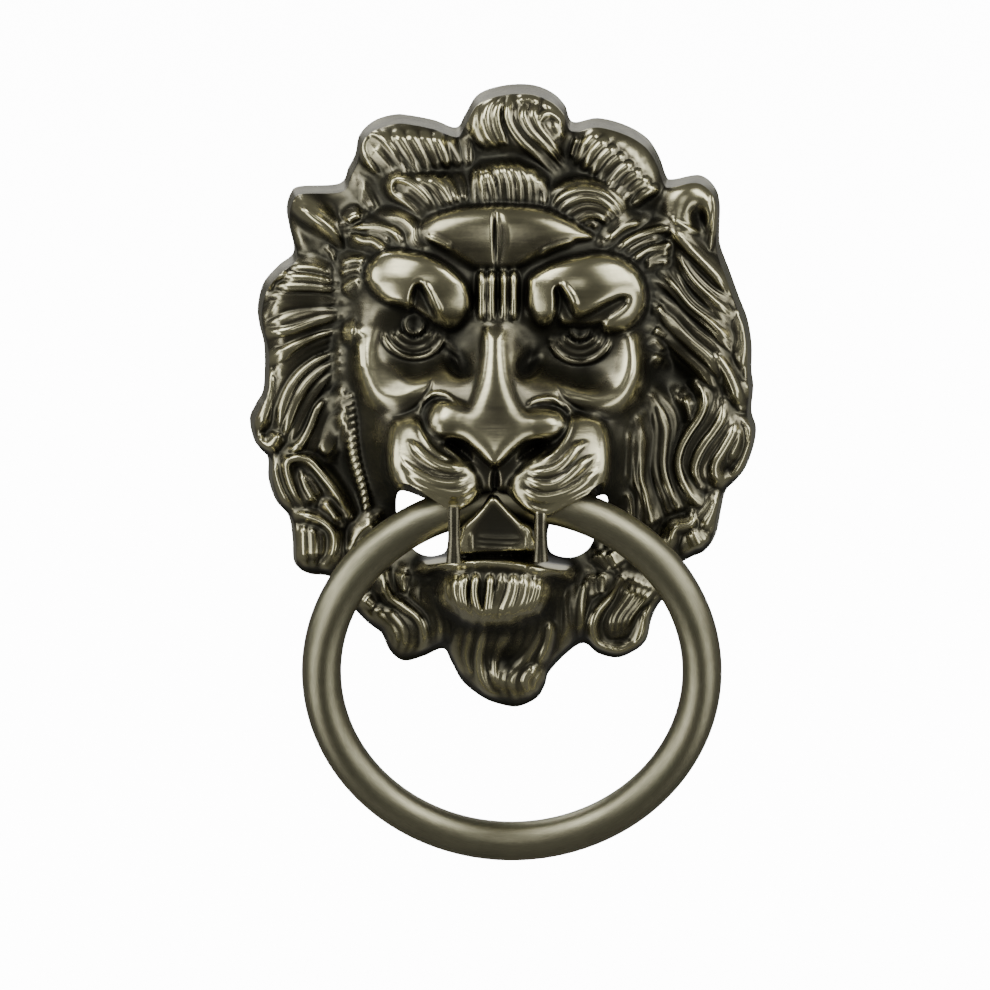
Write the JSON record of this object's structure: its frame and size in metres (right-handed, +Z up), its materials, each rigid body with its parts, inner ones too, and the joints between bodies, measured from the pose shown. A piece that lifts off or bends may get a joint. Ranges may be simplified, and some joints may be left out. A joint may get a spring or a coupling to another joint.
{
  "type": "door knocker",
  "caption": "Cast lion-head door knocker: a swinging ring held behind the fangs in the mouth, fixed by through-door studs with washers and dome nuts.",
  "frame": {"origin": "middle of the plate's back, on the door's outer face", "axes": "+Z up the door, +Y into the door, +X to the right of a visitor facing the head"},
  "size_m": [0.1099, 0.0962, 0.1695],
  "materials": {
    "antique_bronze": "dark antique bronze with brushed high points",
    "brushed_bronze": "brushed bronze under clear lacquer",
    "zinc_plate": "bright zinc plate"
  },
  "bodies": {
    "head": {"head_casting": "antique_bronze", "stud_upper": "zinc_plate", "stud_lower": "zinc_plate", "washer_upper": "zinc_plate", "washer_lower": "zinc_plate", "dome_nut_upper": "zinc_plate", "dome_nut_lower": "zinc_plate"},
    "ring": {"knocker_ring": "brushed_bronze"}
  },
  "joints": [
    {"name": "ring_swing", "type": "hinge", "parent": "head", "child": "ring", "pos_m": [0.0019, -0.02873, -0.0186], "axis": [-1, 0, 0], "range_deg": [0, 100]}
  ]
}
